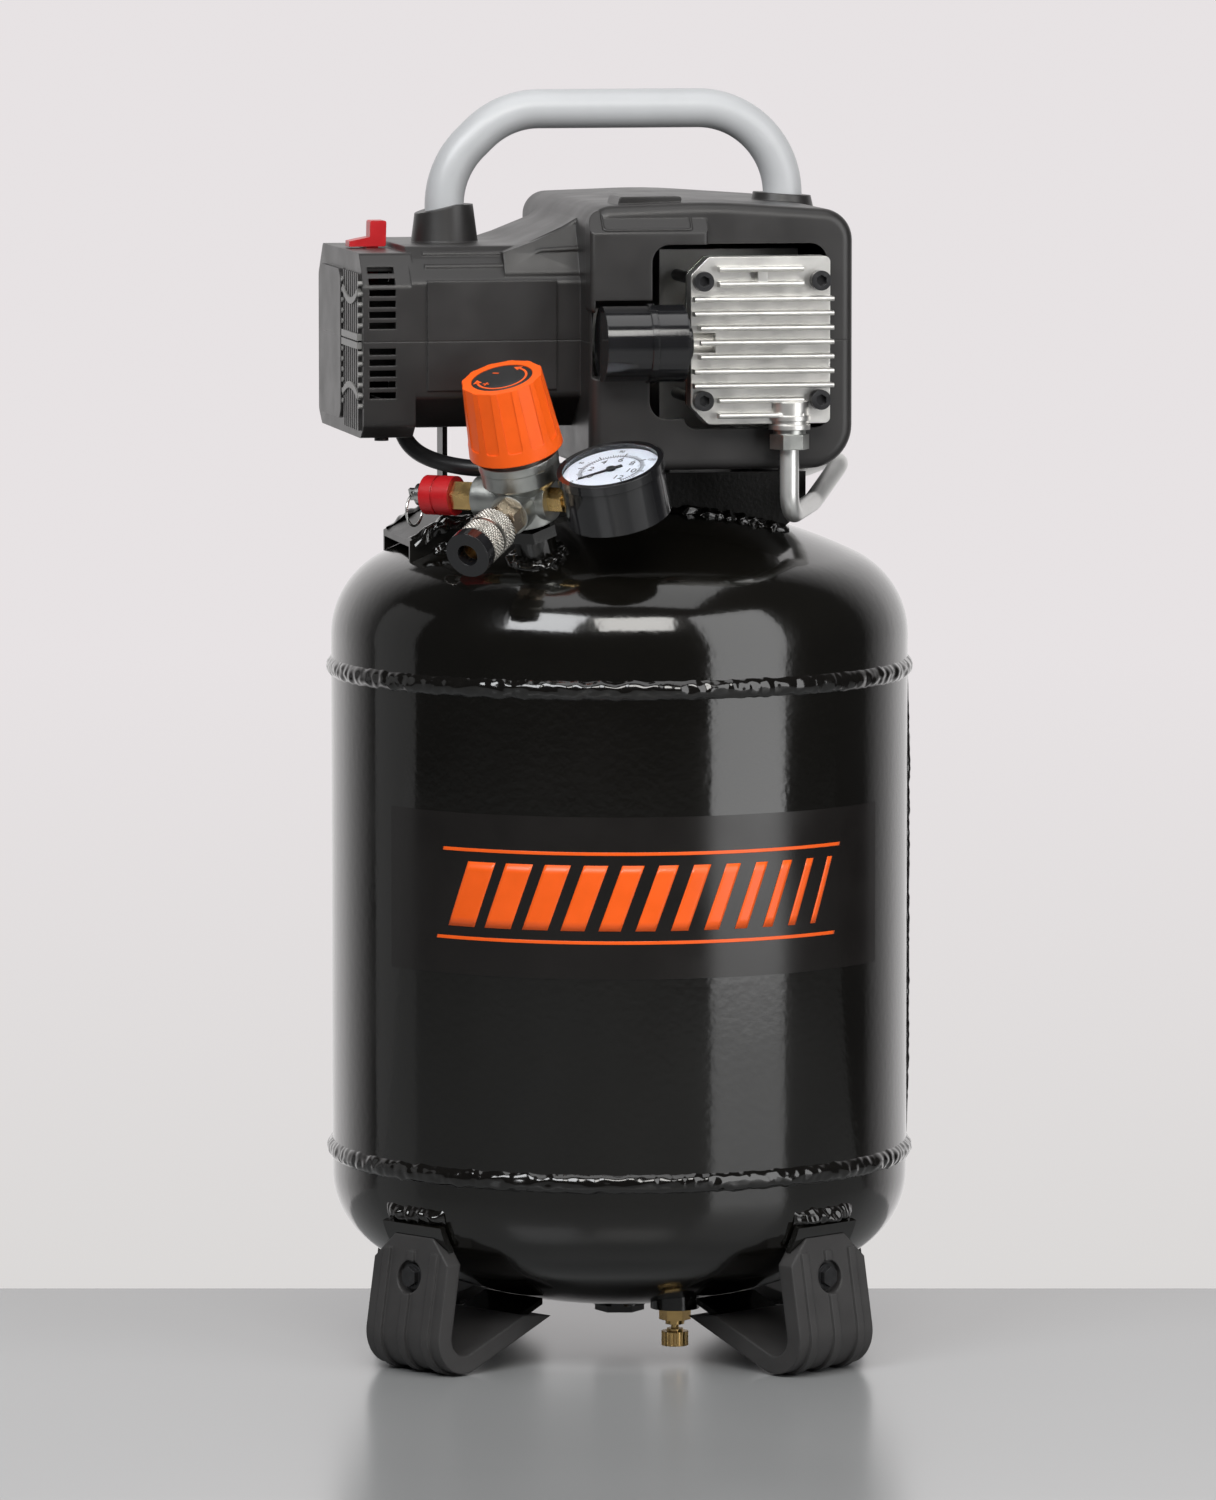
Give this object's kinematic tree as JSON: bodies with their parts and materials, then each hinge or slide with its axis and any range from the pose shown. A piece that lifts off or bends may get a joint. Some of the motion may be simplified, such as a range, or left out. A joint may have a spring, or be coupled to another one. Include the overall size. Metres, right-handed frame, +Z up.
{
  "type": "air compressor",
  "caption": "Vertical portable oil-free air compressor: upright black tank on rubber feet, pump and motor under moulded covers, carrying handle, regulator, gauge and quick coupler.",
  "frame": {"origin": "on the floor, under the axis of the tank, in the plane that the four feet stand on", "axes": "+Z up along the tank axis, -Y towards the labelled front, +X to the right as seen from the front"},
  "size_m": [0.305, 0.32, 0.646],
  "materials": {
    "gloss_black_paint": "gloss enamel",
    "moulded_black": "fine moulded texture",
    "black_rubber": "matte",
    "grey_paint": "satin light grey",
    "cast_aluminium": "die cast, bead blasted",
    "zinc_cast": "die cast zinc, dull",
    "bright_steel": "zinc plated",
    "dark_steel": "black oxide",
    "brass": "machined",
    "orange_plastic": "satin orange",
    "red_plastic": "satin red",
    "gloss_black_plastic": "gloss",
    "label_film": null,
    "white_dial": "printed dial",
    "clear_lens": "clear",
    "black_hose": "smooth",
    "copper_and_iron": "laminated iron with enamelled copper"
  },
  "bodies": {
    "compressor_frame": {"bolts_and_screws": "dark_steel", "cable_gland": "moulded_black", "coupler_body": "brass", "coupler_end_ring": "dark_steel", "crankcase": "cast_aluminium", "cylinder": "cast_aluminium", "cylinder_head": "cast_aluminium", "delivery_fittings": "bright_steel", "delivery_pipe": "zinc_cast", "drain_valve_body": "brass", "foot_brackets": "gloss_black_paint", "front_label": "label_film", "gauge_case": "gloss_black_plastic", "gauge_dial": "white_dial", "gauge_lens": "clear_lens", "gauge_stem": "brass", "handle_tube": "grey_paint", "head_bolts": "dark_steel", "intake_filter_body": "gloss_black_plastic", "intake_filter_cup": "gloss_black_plastic", "lower_cover": "moulded_black", "motor_bearings": "cast_aluminium", "motor_brushes": "brass", "motor_stator": "copper_and_iron", "pressure_hose": "black_hose", "pressure_switch": "moulded_black", "pump_saddle": "gloss_black_paint", "regulator_body": "zinc_cast", "regulator_bonnet": "zinc_cast", "rubber_feet": "black_rubber", "rubber_mounts": "black_rubber", "safety_valve_body": "brass", "safety_valve_sleeve": "red_plastic", "tank_bottom_head": "gloss_black_paint", "tank_shell": "gloss_black_paint", "tank_sockets": "gloss_black_paint", "tank_top_head": "gloss_black_paint", "upper_cover": "moulded_black", "valve_plate": "bright_steel", "valve_springs": "bright_steel", "weld_beads": "gloss_black_paint"},
    "rotor": {"rotor_shaft": "bright_steel", "armature": "copper_and_iron", "cooling_fan": "moulded_black", "crank_disc": "bright_steel"},
    "piston_set": {"piston": "cast_aluminium", "piston_cup_seal": "gloss_black_plastic", "connecting_rod": "cast_aluminium"},
    "switch_knob": {"switch_knob": "red_plastic"},
    "regulator_knob": {"regulator_knob": "orange_plastic", "knob_disc": "moulded_black", "adjusting_screw": "bright_steel"},
    "spring_seat": {"spring_seat": "brass"},
    "gauge_needle": {"gauge_needle": "dark_steel"},
    "coupler_sleeve": {"coupler_sleeve": "bright_steel"},
    "coupler_poppet": {"coupler_poppet": "brass"},
    "safety_stem": {"safety_valve_stem": "bright_steel"},
    "safety_ring": {"safety_valve_ring": "bright_steel"},
    "drain_stem": {"drain_valve_stem": "brass"},
    "drain_knob": {"drain_knob": "brass"}
  },
  "joints": [
    {"name": "rotor_spin", "type": "hinge", "parent": "compressor_frame", "child": "rotor", "pos_m": [-0.00229, 0.01178, 0.523], "axis": [0.9816, 0.1908, 0], "continuous": true},
    {"name": "piston_stroke", "type": "slide", "parent": "compressor_frame", "child": "piston_set", "axis": [-0.1908, 0.9816, 0], "range_m": [0, 0.02]},
    {"name": "switch_lift", "type": "slide", "parent": "compressor_frame", "child": "switch_knob", "axis": [0, 0, 1], "range_m": [0, 0.005]},
    {"name": "regulator_knob_turn", "type": "hinge", "parent": "compressor_frame", "child": "regulator_knob", "pos_m": [-0.041, -0.0999, 0.4147], "axis": [0.1787, 0.3292, -0.9272], "range_deg": [0, 1440]},
    {"name": "spring_seat_travel", "type": "slide", "parent": "compressor_frame", "child": "spring_seat", "axis": [0.1787, 0.3292, -0.9272], "range_m": [0, 0.00502], "deforming": ["valve_springs"]},
    {"name": "gauge_needle_turn", "type": "hinge", "parent": "compressor_frame", "child": "gauge_needle", "pos_m": [-0.00388, -0.14051, 0.4592], "axis": [0.1787, 0.3292, -0.9272], "range_deg": [0, 270], "stiffness_Nm_per_rad": 0.001},
    {"name": "coupler_sleeve_pull", "type": "slide", "parent": "compressor_frame", "child": "coupler_sleeve", "axis": [0.4424, 0.8148, 0.3746], "range_m": [0, 0.004], "stiffness_N_per_m": 900, "springref_m": -0.003},
    {"name": "coupler_poppet_push", "type": "slide", "parent": "compressor_frame", "child": "coupler_poppet", "axis": [0.4424, 0.8148, 0.3746], "range_m": [0, 0.003], "stiffness_N_per_m": 600, "springref_m": -0.003},
    {"name": "safety_stem_pull", "type": "slide", "parent": "compressor_frame", "child": "safety_stem", "axis": [-0.8788, 0.4772, 0], "range_m": [0, 0.0025], "stiffness_N_per_m": 1500, "springref_m": -0.003},
    {"name": "safety_ring_swing", "type": "hinge", "parent": "safety_stem", "child": "safety_ring", "pos_m": [-0.10349, -0.07961, 0.44437], "axis": [0.4772, 0.8788, 0], "range_deg": [-12, 70]},
    {"name": "drain_stem_travel", "type": "slide", "parent": "compressor_frame", "child": "drain_stem", "axis": [0, 0, -1], "range_m": [0, 0.002]},
    {"name": "drain_knob_turn", "type": "hinge", "parent": "drain_stem", "child": "drain_knob", "pos_m": [0.0283, -0.06, 0.01], "axis": [0, 0, 1], "range_deg": [0, 724]}
  ],
  "couplings": [
    {"joint": "spring_seat_travel", "follows": "regulator_knob_turn", "m_per_rad": 0.00019894},
    {"joint": "drain_knob_turn", "follows": "drain_stem_travel", "rad_per_m": 6283.2}
  ]
}
